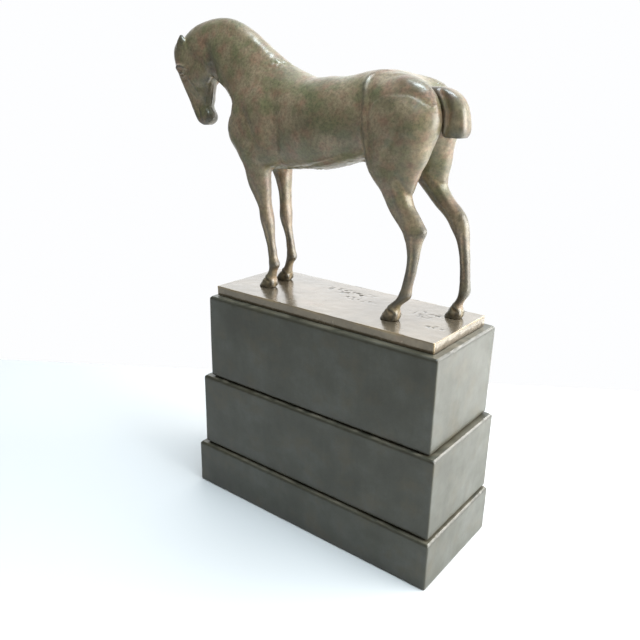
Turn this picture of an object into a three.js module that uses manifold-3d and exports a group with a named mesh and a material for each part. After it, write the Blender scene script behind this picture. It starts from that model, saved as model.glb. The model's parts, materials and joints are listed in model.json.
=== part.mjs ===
// A horse cast in bronze, standing on a bronze plate over a stepped base of three stone blocks.
// Millimetres, +Z up. The horse faces -X, so its left side is toward -Y.
import * as THREE from 'three';
import { ParametricGeometry } from 'three/addons/geometries/ParametricGeometry.js';
import { mergeVertices } from 'three/addons/utils/BufferGeometryUtils.js';
import loadManifold from 'manifold-3d';

const { Manifold, Mesh } = await loadManifold().then((library) => (library.setup(), library));

// ---- driving sizes --------------------------------------------------------------------------
const GAP = 0.3; // clearance between pieces that touch on the real object
const ARRIS = 1.8; // chamfer along the top edges of each stone block
const BED = 0.4; // thickness of the setting bed between two blocks
const BED_INSET = 1.6; // how far the bed stops short of the block above it

// Each block: length, width, height, and how far it was set off centre.
const BOTTOM = { length: 200, width: 84, height: 33.5, x: -1, y: -1 };
const MIDDLE = { length: 193.5, width: 81, height: 55, x: 0.2, y: 0.2 };
const TOP = { length: 183.5, width: 77, height: 61, x: 0.9, y: 0.6 };
const PLATE = { length: 174.5, width: 66, height: 6.9, x: -0.1, y: 0.2, edge: 0.5 };

const bedStep = BED + 2 * GAP;
const middleFloor = BOTTOM.height + bedStep;
const topFloor = middleFloor + MIDDLE.height + bedStep;
const plateFloor = topFloor + TOP.height + GAP;
const plateTop = plateFloor + PLATE.height;

const HORSE_Y = 2; // the horse's mid-plane stands this far toward its right of the base's middle
const SOLE = GAP; // the soles' height above the plate; all heights on the horse are from the plate

const WALL = 4; // thickness of the hollow castings
const SLEEVE = { wall: 2, reach: 7, shoulder: 3 };
const HOLLOW_NECK = 62; // how far up the neck its casting is hollow
const LEG_JOINT = { fore: 77, hind: 84, reach: 6.5, fill: 0.5, pin: 0.8 };
// The dock's tenon runs along the horse; its pin comes down from above, sunk below the croup.
const TAIL_JOINT = { radius: 2.6, from: 49, to: 62, z: 131, pin: 0.8, pinX: 53, pinRise: 3, boreRise: 9 };
const NECK_PIN = 1;

const PAST = 1; // how far a cut or a root runs on past the face it starts from
const PIN_PAST = 3; // how far a pin's bore runs on past the pin's ends

// How many flats go round each loft and each round bar, and how many slices lie along each loft.
const FACETS = { torso: 22, core: 12, neck: 18, head: 16, ear: 8, tail: 14, leg: 14 };
const ROUND = { bar: 24, turned: 20, pin: 16 };
const SLICES = { torso: 18, core: 9, neck: 18, head: 15, ear: 5, tail: 11, legStation: 1.5 };

const STUD = { radius: 3, x: 40, bite: 4.6, end: 1.5 };
const NUT = { across: 10, height: 5 };
const WASHER = { radius: 7.5, height: 1.6 };
const RECESS = { radius: 10, depth: 13 };
const SCREW = { radius: 1.5, head: 2.8, rim: 0.3, headHeight: 1.5, bite: 4.2 };

// ---- materials ------------------------------------------------------------------------------
const material = (color, roughness, metalness) =>
  new THREE.MeshStandardMaterial({ color, roughness, metalness });
const patinatedBronze = () => material(0x6a5a45, 0.42, 0.75);
const plateBronze = () => material(0x8a7560, 0.35, 0.8);
const stone = () => material(0x4a4b45, 0.5, 0);
const cement = () => material(0x2b2a28, 0.9, 0);
const steel = () => material(0xa8a9ab, 0.35, 1);

// ---- solids ---------------------------------------------------------------------------------
function solid(geometry) {
  const bare = geometry.index ? geometry.toNonIndexed() : geometry.clone();
  for (const name of Object.keys(bare.attributes)) {
    if (name !== 'position') bare.deleteAttribute(name);
  }
  const merged = mergeVertices(bare, 1e-4);
  const corners = [];
  const index = merged.index.array;
  for (let i = 0; i < index.length; i += 3) {
    const [a, b, c] = [index[i], index[i + 1], index[i + 2]];
    if (a !== b && b !== c && c !== a) corners.push(a, b, c);
  }
  const vertices = new Float32Array(merged.attributes.position.array);
  return new Manifold(new Mesh({ numProp: 3, vertProperties: vertices, triVerts: new Uint32Array(corners) }));
}

function geometryOf(body) {
  const mesh = body.getMesh();
  const geometry = new THREE.BufferGeometry();
  geometry.setAttribute('position', new THREE.BufferAttribute(new Float32Array(mesh.vertProperties), 3));
  geometry.setIndex(new THREE.BufferAttribute(new Uint32Array(mesh.triVerts), 1));
  geometry.computeVertexNormals();
  return geometry;
}

const box = (length, width, height, x, y, z) =>
  solid(new THREE.BoxGeometry(length, width, height).translate(x, y, z));

// An upright round bar from floor to ceiling.
const bar = (radius, x, y, floor, ceiling, sides = ROUND.bar) =>
  solid(
    new THREE.CylinderGeometry(radius, radius, ceiling - floor, sides)
      .rotateX(Math.PI / 2)
      .translate(x, y, (floor + ceiling) / 2),
  );

// A round pin lying across the horse, from one y to another.
const crossPin = (radius, x, z, fromY, toY) =>
  solid(
    new THREE.CylinderGeometry(radius, radius, Math.abs(toY - fromY), ROUND.pin)
      .translate(x, (fromY + toY) / 2, z),
  );

// ---- lofts ----------------------------------------------------------------------------------
// A station is one slice through the body or a limb: its front or upper edge (x, z), its rear or
// lower edge (x, z), how far its middle stands from the horse's mid-plane, and its half width.
const smooth = (points) => new THREE.CatmullRomCurve3(points, false, 'centripetal');

// +1 or -1, whichever way round a slice has to be drawn for the skin to face outward.
function turnOf(upper, lower) {
  const [before, middle, after] = [0.4, 0.5, 0.6];
  const travel = lower.getPoint(after).sub(lower.getPoint(before));
  travel.add(upper.getPoint(after)).sub(upper.getPoint(before));
  return Math.sign(lower.getPoint(middle).sub(upper.getPoint(middle)).cross(travel).y);
}

function loft(stations, side, facets, steps) {
  const upper = smooth(stations.map(([x, z]) => new THREE.Vector3(x, 0, z)));
  const lower = smooth(stations.map(([, , x, z]) => new THREE.Vector3(x, 0, z)));
  const girth = smooth(stations.map(([, , , , out, half], i) => new THREE.Vector3(out, half, i)));
  const rows = steps + 2;
  const turn = turnOf(upper, lower);
  const slice = (u, v, target) => {
    const row = Math.round(v * rows);
    const t = THREE.MathUtils.clamp((row - 1) / steps, 0, 1);
    const a = upper.getPoint(t);
    const b = lower.getPoint(t);
    const g = girth.getPoint(t);
    const reach = row === 0 || row === rows ? 0 : 1;
    const angle = 2 * Math.PI * turn * (u === 1 ? 0 : u);
    const along = 0.5 - 0.5 * reach * Math.cos(angle);
    target.lerpVectors(a, b, along);
    target.y = HORSE_Y + side * g.x + reach * g.y * Math.sin(angle);
    target.z += plateTop;
  };
  return solid(new ParametricGeometry(slice, facets, rows));
}

// The same stations drawn in by a distance on every side, or let out by a negative one.
const drawnIn = (stations, distance) =>
  stations.map(([ax, az, bx, bz, out, half]) => {
    const depth = Math.hypot(bx - ax, bz - az);
    const [sx, sz] = [((bx - ax) / depth) * distance, ((bz - az) / depth) * distance];
    return [ax + sx, az + sz, bx - sx, bz - sz, out, half - distance];
  });

// The slice of a leg at one height, read off between its stations.
function sliceAt(stations, height) {
  const middle = (s) => (s[1] + s[3]) / 2;
  const below = stations.findIndex((s) => middle(s) <= height);
  const [p, q] = [stations[below - 1], stations[below]];
  const t = (height - middle(p)) / (middle(q) - middle(p));
  const [ax, , bx, , out, half] = p.map((value, i) => value + (q[i] - value) * t);
  return { x: (ax + bx) / 2, depth: (bx - ax) / 2, out, half };
}

const TORSO = [
  [-93.5, 113, -93.5, 101, 0, 8],
  [-87.3, 125, -89, 89, 0, 15.5],
  [-76, 136, -77.5, 83, 0, 19],
  [-47, 144.4, -47, 81.8, 0, 20.5],
  [-15, 141.8, -15, 85.2, 0, 22],
  [14, 145.2, 12, 93, 0, 20],
  [28, 145.9, 26, 98, 0, 19.5],
  [42, 143.6, 40, 104, 0, 18],
  [53, 138.4, 52, 110, 0, 14],
  [60, 132, 60, 118, 0, 7],
];
const NECK = [
  [-34, 140.5, -84, 92, 0, 16],
  [-46.6, 145.6, -93, 104, 0, 16],
  [-58, 153, -95.5, 114, 0, 15],
  [-69, 160.7, -96.5, 121.5, 0, 13.5],
  [-80, 168.4, -101, 126.6, 0, 12],
  [-91.7, 174.4, -105.5, 131.4, 0, 11],
  [-104, 178, -110.5, 134.8, 0, 10.2],
  [-117, 178.4, -116, 138, 0, 9.8],
  [-130, 176.2, -122, 142, 0, 9.3],
  [-141, 172.2, -127, 147, 0, 8.8],
  [-149, 166.8, -135, 151, 0, 7.5],
];
const HEAD = [
  [-152.5, 166, -137, 162, 0, 6.5],
  [-157.6, 159.5, -129, 155, 0, 8.8],
  [-158.2, 153, -121, 149, 0, 10],
  [-156, 146, -117.5, 143, 0, 10],
  [-152.8, 139, -118, 136.5, 0, 9.2],
  [-149, 132, -120.5, 130, 0, 7.8],
  [-145.2, 125, -122.8, 124.5, 0, 6.6],
  [-141.6, 118.5, -123.6, 119.5, 0, 6],
  [-138.4, 113, -120.9, 115.3, 0, 6],
  [-135.8, 109.5, -121.2, 111, 0, 5.6],
  [-131.4, 107.4, -125.8, 107.5, 0, 3.4],
];
const EAR = [
  [-152, 155, -141.5, 157, 5, 2.8],
  [-151.2, 160, -142, 161.4, 5.9, 3],
  [-149.6, 164, -144, 164.6, 6.3, 2.2],
  [-147.6, 167.6, -146, 167.7, 6.3, 0.6],
];
const TAIL = [
  [52, 135.2, 53, 127, 0, 4.5],
  [58.5, 135.6, 57.5, 125.5, 0, 5.2],
  [66, 135.4, 60.5, 121.5, 0, 6],
  [73, 132.4, 62, 118, 0, 6.4],
  [77.6, 125.8, 63, 115.5, 0, 6.6],
  [79.3, 118.6, 64, 113.5, 0, 6.6],
  [79.2, 110.4, 64.8, 110, 0, 6],
];
const LEGS = {
  left_fore: {
    side: -1,
    joint: LEG_JOINT.fore,
    hoofX: -59,
    stations: [
      [-86, 104, -54, 106, 10, 5],
      [-84, 96, -54.3, 97, 12.3, 7.6],
      [-80.6, 88, -56.6, 88, 12.3, 7.8],
      [-75, 71, -58, 71, 11.8, 6.3],
      [-69, 61, -58, 61, 11.5, 5.1],
      [-65.6, 51, -56.5, 51, 11.2, 4.7],
      [-63.2, 41, -55, 41, 11, 4],
      [-60.2, 31, -54, 31, 11, 3.1],
      [-58.1, 20.5, -51.9, 20.5, 11, 3.2],
      [-57.9, 17.5, -50.4, 17.2, 11, 3.6],
      [-59, 11, -53.3, 10, 11, 3.3],
      [-64.2, 4, -53.6, 3.4, 11, 4.7],
      [-66.8, 0, -54.2, 0, 11, 5],
    ],
  },
  right_fore: {
    side: 1,
    joint: LEG_JOINT.fore,
    hoofX: -62.4,
    stations: [
      [-86, 104, -54, 106, 10, 5],
      [-84, 96, -54.5, 97, 12.3, 7.6],
      [-80, 88, -57, 88, 12.2, 7.8],
      [-71.7, 76.6, -58.7, 76.6, 11.8, 6.4],
      [-68.3, 66.6, -59.1, 66.6, 11.5, 5.3],
      [-66.6, 51.6, -58.6, 51.6, 11.2, 4.6],
      [-65.1, 41.6, -58, 41.6, 11, 3.9],
      [-61.6, 31.6, -56, 31.6, 11, 3],
      [-60.4, 21.6, -53.8, 21.6, 11, 3.2],
      [-60.5, 18.4, -53, 18, 11, 3.6],
      [-62.8, 10, -57, 9.4, 11, 3.3],
      [-66.8, 5, -57.8, 4.4, 11, 4.5],
      [-70.4, 0, -58.5, 0, 11, 4.9],
    ],
  },
  left_hind: {
    side: -1,
    joint: LEG_JOINT.hind,
    hoofX: 45.5,
    stations: [
      [30, 137, 50, 135, 7, 6],
      [21, 128, 62.5, 129, 11.5, 10],
      [20, 118, 65.5, 118, 12.5, 10.6],
      [20, 106, 65.5, 106, 13, 10.2],
      [23, 91, 60.2, 91, 13.6, 8.7],
      [30.4, 81.6, 55.9, 82.4, 14, 7.2],
      [38, 71.4, 56.3, 72.2, 14.4, 5.6],
      [46.2, 60.5, 63, 61.8, 14.8, 4.6],
      [49.8, 56.5, 65.8, 57.2, 15, 4.6],
      [54.4, 45.5, 62.6, 45.5, 15, 3.9],
      [54.8, 36.6, 61.4, 36.6, 15, 3.3],
      [51.9, 20.5, 58.6, 19.8, 15, 3.4],
      [50.6, 17, 58.2, 16.2, 15, 3.8],
      [45.1, 10.2, 51.4, 8.8, 15, 3.5],
      [41.2, 5, 50.8, 3.4, 15, 4.5],
      [38.4, 0, 50.4, 0, 15, 4.8],
    ],
  },
  right_hind: {
    side: 1,
    joint: LEG_JOINT.hind,
    hoofX: 73.5,
    stations: [
      [30, 137, 50, 135, 7, 6],
      [21, 128, 62.5, 129, 11.5, 10],
      [20.5, 118, 65.5, 118, 12.5, 10.6],
      [22, 106, 65, 106, 13, 10.2],
      [34, 89.5, 61.2, 92, 13.6, 8.3],
      [44, 81, 60.6, 83, 14, 7],
      [52.6, 71, 69.2, 72.8, 14.4, 5.6],
      [63.4, 60.8, 77.4, 61.8, 14.8, 4.7],
      [66.6, 56.6, 78, 57.6, 15, 4.6],
      [72, 46.6, 79.3, 46.6, 15, 3.8],
      [74.9, 31.6, 81.3, 31.6, 15, 3],
      [75.7, 21.6, 82.5, 21.2, 15, 3.2],
      [75.6, 17.2, 82.4, 16.4, 15, 3.7],
      [72.5, 9.2, 78.5, 8.2, 15, 3.4],
      [69.4, 4.4, 78.4, 3.8, 15, 4.5],
      [67.2, 0, 78.2, 0, 15, 4.8],
    ],
  },
};

// ---- the stone base -------------------------------------------------------------------------
const group = new THREE.Group();

function add(name, body, paint, x = 0, y = 0, z = 0) {
  const mesh = new THREE.Mesh(geometryOf(body.translate(-x, -y, -z)), paint);
  mesh.name = name;
  mesh.position.set(x, y, z);
  group.add(mesh);
}

// A squared block whose top edges are chamfered, standing on the floor height given.
function block({ length, width, height, x, y }, floor, chamfer) {
  const outline = new THREE.Shape();
  const [halfLength, halfWidth] = [length / 2, width / 2];
  outline.moveTo(-halfLength, -halfWidth);
  outline.lineTo(halfLength, -halfWidth);
  outline.lineTo(halfLength, halfWidth);
  outline.lineTo(-halfLength, halfWidth);
  const raised = new THREE.ExtrudeGeometry(outline, {
    depth: height,
    bevelThickness: chamfer,
    bevelSize: chamfer,
    bevelOffset: -chamfer,
    bevelSegments: 1,
  });
  const tall = solid(raised.translate(x, y, floor - chamfer));
  return tall.intersect(box(length + PAST, width + PAST, height, x, y, floor + height / 2));
}

const studSides = [-1, 1];
const studBores = (floor, ceiling, radius) =>
  Manifold.union(studSides.map((end) => bar(radius, end * STUD.x, 0, floor, ceiling)));
const studHoles = studBores(-PAST, plateFloor + STUD.bite + GAP, STUD.radius + GAP);
const recesses = studBores(-PAST, RECESS.depth, RECESS.radius);

add('base_block_bottom', block(BOTTOM, 0, ARRIS).subtract(studHoles).subtract(recesses), stone());
add('base_block_middle', block(MIDDLE, middleFloor, ARRIS).subtract(studHoles), stone(), 0, 0, middleFloor);
add('base_block_top', block(TOP, topFloor, ARRIS).subtract(studHoles), stone(), 0, 0, topFloor);

function bed({ length, width, x, y }, floor) {
  const sheet = box(length - 2 * BED_INSET, width - 2 * BED_INSET, BED, x, y, floor + BED / 2);
  return sheet.subtract(studHoles);
}
add('setting_bed_lower', bed(MIDDLE, BOTTOM.height + GAP), cement(), 0, 0, BOTTOM.height);
add('setting_bed_upper', bed(TOP, middleFloor + MIDDLE.height + GAP), cement(), 0, 0, topFloor);

// ---- the horse's castings ----------------------------------------------------------------------
const names = Object.keys(LEGS);
const legBody = (name, letOut = 0) => {
  const { stations, side } = LEGS[name];
  const slices = Math.round(stations.length * SLICES.legStation);
  return loft(drawnIn(stations, -letOut), side, FACETS.leg, slices);
};

// Everything above or below a height on the horse.
const TALL = 400;
const above = (height) => box(TALL, TALL, TALL, 0, 0, plateTop + height + TALL / 2);
const below = (height) => box(TALL, TALL, TALL, 0, 0, plateTop + height - TALL / 2);

// The tenon that stands on a leg casting and fills its socket in the body.
function tenon(name, play) {
  const { stations, side, joint } = LEGS[name];
  const cut = sliceAt(stations, joint);
  const height = LEG_JOINT.reach + play;
  const [depth, half] = [cut.depth * LEG_JOINT.fill + play, cut.half * LEG_JOINT.fill + play];
  return solid(
    new THREE.CylinderGeometry(1, 1, height + PAST, ROUND.turned)
      .rotateX(Math.PI / 2)
      .scale(depth, half, 1)
      .translate(cut.x, HORSE_Y + side * cut.out, plateTop + joint + (height - PAST) / 2),
  );
}

// The pin driven across a leg's joint, in the middle of its tenon; with play and past, its bore.
function legPin(name, play, past) {
  const { stations, side, joint } = LEGS[name];
  const cut = sliceAt(stations, joint);
  const y = HORSE_Y + side * cut.out;
  const half = cut.half - GAP + past;
  const z = plateTop + joint + LEG_JOINT.reach / 2;
  return crossPin(LEG_JOINT.pin + play, cut.x, z, y - half, y + half);
}

// The neck joint lies square to the crest, on the slice of the neck's fourth station.
const JOINT_STATION = 3;
const [crestX, crestZ, throatX, throatZ] = NECK[JOINT_STATION];
const neckTilt = Math.atan2(crestX - throatX, crestZ - throatZ);
const neckSlab = (from, to) =>
  solid(
    new THREE.BoxGeometry(TALL, TALL, to - from)
      .translate(0, 0, (from + to) / 2)
      .rotateY(neckTilt - Math.PI / 2)
      .translate((crestX + throatX) / 2, HORSE_Y, plateTop + (crestZ + throatZ) / 2),
  );
const neckBody = (distance) => loft(drawnIn(NECK, distance), 0, FACETS.neck, SLICES.neck);

function neckPins(play, past) {
  const back = -SLEEVE.reach / 2;
  const x = (crestX + throatX) / 2 - back * Math.sin(Math.PI / 2 - neckTilt);
  const z = plateTop + (crestZ + throatZ) / 2 + back * Math.cos(Math.PI / 2 - neckTilt);
  const half = NECK[JOINT_STATION].at(-1);
  const [inner, outer] = [half - WALL - SLEEVE.wall - past, half + past];
  return [-1, 1].map((side) =>
    crossPin(NECK_PIN + play, x, z, HORSE_Y + side * inner, HORSE_Y + side * outer),
  );
}

// The dock's tenon, and the pin set down into it through the croup.
function dock(play) {
  const { radius, from, to, z } = TAIL_JOINT;
  const tenonBar = new THREE.CylinderGeometry(radius + play, radius + play, to - from + play, ROUND.turned);
  return solid(tenonBar.rotateZ(Math.PI / 2).translate((from + to - play) / 2, HORSE_Y, plateTop + z));
}
function dockPin(play, rise) {
  const { pinX, z, radius, pin } = TAIL_JOINT;
  const [foot, head] = [plateTop + z - radius - 2 * play, plateTop + z + radius + rise];
  return bar(pin + play, pinX, HORSE_Y, foot, head, ROUND.pin);
}

const legsBody = Object.fromEntries(names.map((name) => [name, legBody(name)]));
const torsoBody = (letOut) => loft(drawnIn(TORSO, -letOut), 0, FACETS.torso, SLICES.torso);
const core = loft(drawnIn(TORSO.slice(1, -2), WALL), 0, FACETS.core, SLICES.core).add(neckBody(WALL));
const stubs = names.map((name) => legsBody[name].intersect(above(LEGS[name].joint + GAP / 2)));
const neckRoot = neckBody(0).intersect(neckSlab(-TALL, -GAP / 2));
const sockets = names.map((name) => tenon(name, GAP));
const legPinBores = names.map((name) => legPin(name, GAP, PIN_PAST));
const neckPinBores = neckPins(GAP, PIN_PAST);
const dockPinBore = dockPin(GAP, TAIL_JOINT.boreRise);
const holes = [...sockets, ...legPinBores, ...neckPinBores, dock(GAP), dockPinBore];
const body = Manifold.union([torsoBody(0), neckRoot, ...stubs]).subtract(core);
add('torso_casting', Manifold.difference([body, ...holes]), patinatedBronze(), 0, HORSE_Y, plateTop);

const ears = [-1, 1].map((side) => loft(EAR, side, FACETS.ear, SLICES.ear));
const sleeveRing = neckBody(WALL + GAP).subtract(neckBody(WALL + GAP + SLEEVE.wall));
const shoulderRing = neckBody(WALL / 2).subtract(neckBody(WALL + GAP + SLEEVE.wall));
const neckCore = neckBody(WALL).intersect(neckSlab(-PAST, HOLLOW_NECK));
const neckShell = neckBody(0).intersect(neckSlab(GAP / 2, TALL)).subtract(neckCore);
const headAndNeck = Manifold.union([
  neckShell,
  loft(HEAD, 0, FACETS.head, SLICES.head),
  ...ears,
  sleeveRing.intersect(neckSlab(-SLEEVE.reach, SLEEVE.shoulder)),
  shoulderRing.intersect(neckSlab(GAP / 2, SLEEVE.shoulder)),
]);
const headCasting = Manifold.difference([headAndNeck, ...neckPinBores]);
add('head_and_neck_casting', headCasting, patinatedBronze(), 0, HORSE_Y, plateTop);

// The tail hugs the quarters, a gap's width off them.
const quarters = [torsoBody(GAP), legBody('left_hind', GAP), legBody('right_hind', GAP)];
const bob = Manifold.difference([loft(TAIL, 0, FACETS.tail, SLICES.tail), ...quarters]);
const tail = bob.add(dock(0)).subtract(dockPinBore);
add('tail_casting', tail, patinatedBronze(), 0, HORSE_Y, plateTop);

// ---- the legs, their pins and the screws that hold the hooves ---------------------------------
function hoofScrew(x, y, play) {
  const { radius, head, rim, headHeight, bite } = SCREW;
  const tip = PLATE.height + bite + play;
  const outline = [
    [0, -play],
    [head + play, -play],
    [head + play, rim],
    [radius + play, headHeight],
    [radius + play, tip],
    [0, tip],
  ];
  const profile = new THREE.LatheGeometry(outline.map(([r, z]) => new THREE.Vector2(r, z)), ROUND.turned);
  return solid(profile.rotateX(Math.PI / 2).translate(x, y, plateFloor));
}

const soles = names.map((name) => {
  const { side, stations, hoofX } = LEGS[name];
  return [hoofX, HORSE_Y + side * stations.at(-1)[4]];
});
const screwHoles = soles.map(([x, y]) => hoofScrew(x, y, GAP));

names.forEach((name, i) => {
  const { joint } = LEGS[name];
  const shank = legsBody[name].intersect(below(joint - GAP / 2)).intersect(above(SOLE));
  const leg = Manifold.difference([shank.add(tenon(name, 0)), legPinBores[i], screwHoles[i]]);
  const [x, y] = soles[i];
  add(`${name}_leg`, leg, patinatedBronze(), x, y, plateTop);
  add(`${name}_joint_pin`, legPin(name, 0, 0), patinatedBronze());
  add(`${name}_hoof_screw`, hoofScrew(x, y, 0), steel(), x, y, plateFloor);
});

const [leftNeckPin, rightNeckPin] = neckPins(0, 0);
add('left_neck_pin', leftNeckPin, patinatedBronze());
add('right_neck_pin', rightNeckPin, patinatedBronze());
add('tail_pin', dockPin(0, TAIL_JOINT.pinRise), patinatedBronze());

// ---- the bronze plate and what holds the base together -----------------------------------------
const plate = Manifold.difference([block(PLATE, plateFloor, PLATE.edge), studHoles, ...screwHoles]);
add('bronze_plate', plate, plateBronze(), 0, 0, plateFloor);

const washerFloor = RECESS.depth - GAP - WASHER.height;
const nutFloor = washerFloor - GAP - NUT.height;
const hexagon = NUT.across / Math.sqrt(3);
for (const end of studSides) {
  const place = end < 0 ? 'front' : 'rear';
  const x = end * STUD.x;
  const bore = bar(STUD.radius + GAP, x, 0, -PAST, RECESS.depth + PAST);
  const stud = bar(STUD.radius, x, 0, nutFloor - STUD.end, plateFloor + STUD.bite);
  add(`${place}_stud`, stud, steel(), x, 0, 0);
  const disc = bar(WASHER.radius, x, 0, washerFloor, washerFloor + WASHER.height);
  add(`${place}_washer`, disc.subtract(bore), steel(), x, 0, washerFloor);
  const nut = bar(hexagon, x, 0, nutFloor, nutFloor + NUT.height, 6);
  add(`${place}_nut`, nut.subtract(bore), steel(), x, 0, nutFloor);
}

export default group;
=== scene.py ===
"""A bronze horse on a bronze plate over three stone blocks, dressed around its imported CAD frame."""
import json
import math

import bmesh
import bpy
import numpy as np
import openvdb
from mathutils import Matrix, Vector


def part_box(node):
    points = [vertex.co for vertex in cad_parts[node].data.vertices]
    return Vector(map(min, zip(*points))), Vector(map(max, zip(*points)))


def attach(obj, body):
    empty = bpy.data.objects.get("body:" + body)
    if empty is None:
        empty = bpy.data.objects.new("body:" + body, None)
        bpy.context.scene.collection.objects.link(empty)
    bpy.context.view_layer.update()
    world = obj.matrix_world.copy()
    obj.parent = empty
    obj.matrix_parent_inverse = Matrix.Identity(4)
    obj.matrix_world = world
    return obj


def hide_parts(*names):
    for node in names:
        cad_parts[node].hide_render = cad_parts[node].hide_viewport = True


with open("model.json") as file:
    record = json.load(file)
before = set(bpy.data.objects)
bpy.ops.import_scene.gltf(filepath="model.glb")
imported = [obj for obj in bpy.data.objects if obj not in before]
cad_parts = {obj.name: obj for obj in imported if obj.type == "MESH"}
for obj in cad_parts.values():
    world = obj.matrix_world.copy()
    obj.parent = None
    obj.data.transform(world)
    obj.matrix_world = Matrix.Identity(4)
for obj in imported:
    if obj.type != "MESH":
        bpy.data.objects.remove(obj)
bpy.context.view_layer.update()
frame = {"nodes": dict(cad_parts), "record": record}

MM = 0.001
ROOT = "root"

# The horse is drawn in millimetres from the middle of the plate's top, facing -x, left side toward -y.
plate_top_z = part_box("bronze_plate")[1].z / MM
torso_low, torso_high = (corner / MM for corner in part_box("torso_casting"))
HORSE_AT = np.array([0.0, (torso_low.y + torso_high.y) / 2, plate_top_z])
REACH = 8.0  # how far from the surface the sculpting grid still holds a distance


def grain(fine, quick):
    return fine


def add_node(tree, kind, inputs=(), **settings):
    """A node with its settings, and its inputs linked to sockets or set to values."""
    made = tree.nodes.new(kind)
    for key, value in settings.items():
        setattr(made, key, value)
    for key, value in dict(inputs).items():
        if isinstance(value, bpy.types.NodeSocket):
            tree.links.new(value, made.inputs[key])
        else:
            made.inputs[key].default_value = value
    return made


def add_ramp(tree, value, stops):
    """The colour of a value on a ramp of (position, colour or grey) stops."""
    made = add_node(tree, "ShaderNodeValToRGB", {"Fac": value})
    band = made.color_ramp
    while len(band.elements) < len(stops):
        band.elements.new(0.5)
    for element, (place, colour) in zip(band.elements, stops):
        element.position = place
        element.color = (*colour, 1) if isinstance(colour, tuple) else (colour, colour, colour, 1)
    return made.outputs["Color"]


# ---- camera, light and floor ----
EYE = (0.25081, -0.35368, 0.29392)  # behind the horse's left hip, a little above its back
AZIMUTH, ELEVATION, ROLL = 37.41, 19.10, 1.27  # degrees
FOCAL_LENGTH = 37.83


def camera():
    data = bpy.data.cameras.new("camera")
    data.lens = FOCAL_LENGTH
    data.sensor_width = 36.0
    data.clip_start, data.clip_end = 0.01, 20.0
    eye = bpy.data.objects.new("camera", data)
    azimuth, elevation, roll = math.radians(AZIMUTH), math.radians(ELEVATION), math.radians(ROLL)
    back = Vector((
        math.sin(azimuth) * math.cos(elevation),
        -math.cos(azimuth) * math.cos(elevation),
        math.sin(elevation),
    ))
    level = (-back).to_track_quat("-Z", "Y").to_matrix().to_4x4()
    eye.matrix_world = Matrix.Translation(EYE) @ level @ Matrix.Rotation(roll, 4, "Z")
    bpy.context.scene.collection.objects.link(eye)
    bpy.context.scene.camera = eye


def area_light(name, place, target, size, watts, tint):
    data = bpy.data.lights.new(name, "AREA")
    data.shape = "RECTANGLE"
    data.size, data.size_y = size
    data.energy = watts
    data.color = tint
    lamp = bpy.data.objects.new(name, data)
    lamp.location = place
    lamp.visible_camera = False
    lamp.rotation_mode = "QUATERNION"
    lamp.rotation_quaternion = (Vector(target) - Vector(place)).to_track_quat("-Z", "Y")
    bpy.context.scene.collection.objects.link(lamp)


def white_room():
    """The light of a white room, brighter toward the wall behind the horse, which shows plain white."""
    world = bpy.data.worlds.new("studio")
    bpy.context.scene.world = world
    world.use_nodes = True
    tree = world.node_tree
    direction = add_node(tree, "ShaderNodeTexCoord").outputs["Generated"]
    wall = Vector((0.0, 0.9, 0.25)).normalized()
    facing = add_node(tree, "ShaderNodeVectorMath", {0: direction, 1: wall}, operation="DOT_PRODUCT")
    light = [(0.0, (0.26, 0.255, 0.235)), (0.8, (1.8, 1.85, 1.9))]
    room = add_node(tree, "ShaderNodeBackground", {"Color": add_ramp(tree, facing.outputs["Value"], light)})
    backdrop = tree.nodes["Background"]
    backdrop.inputs["Color"].default_value = (0.985, 0.99, 1.0, 1.0)
    seen = add_node(tree, "ShaderNodeLightPath").outputs["Is Camera Ray"]
    choice = add_node(tree, "ShaderNodeMixShader", {0: seen, 1: room.outputs[0], 2: backdrop.outputs[0]})
    tree.links.new(choice.outputs[0], tree.nodes["World Output"].inputs["Surface"])


def lamps():
    """A skylight over the horse, a window on the right, and the window's light on the floor."""
    area_light("skylight", (0.14, -0.1, 1.15), (0.05, 0.0, 0.3), (0.6, 0.3), 15.0, (0.76, 0.89, 1.0))
    area_light("window", (1.2, 0.35, 0.45), (0.0, 0.0, 0.12), (1.3, 1.0), 38.0, (1.0, 0.98, 0.95))
    area_light("sun_on_floor", (0.4, 0.42, 0.25), (0.4, 0.42, 0.0), (0.4, 0.4), 5.5, (1.0, 0.99, 0.96))


def pale_floor():
    """A pale floor that ends at the wall, oblique to the base."""
    mesh = bpy.data.meshes.new("floor")
    along, across = Vector((0.835, 0.55, 0)), Vector((0.55, -0.835, 0))
    corner = Vector((-0.15, 0.178, 0))
    spans = [(-2.5, 0), (2.5, 0), (2.5, 3.5), (-2.5, 3.5)]
    mesh.from_pydata([corner + along * a + across * b for a, b in spans], [], [(3, 2, 1, 0)])
    paint = Paint("floor")
    paint.set(Base_Color=(0.54, 0.55, 0.545, 1), Roughness=0.6)
    mesh.materials.append(paint.material)
    ground = bpy.data.objects.new("floor", mesh)
    bpy.context.scene.collection.objects.link(ground)


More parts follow.
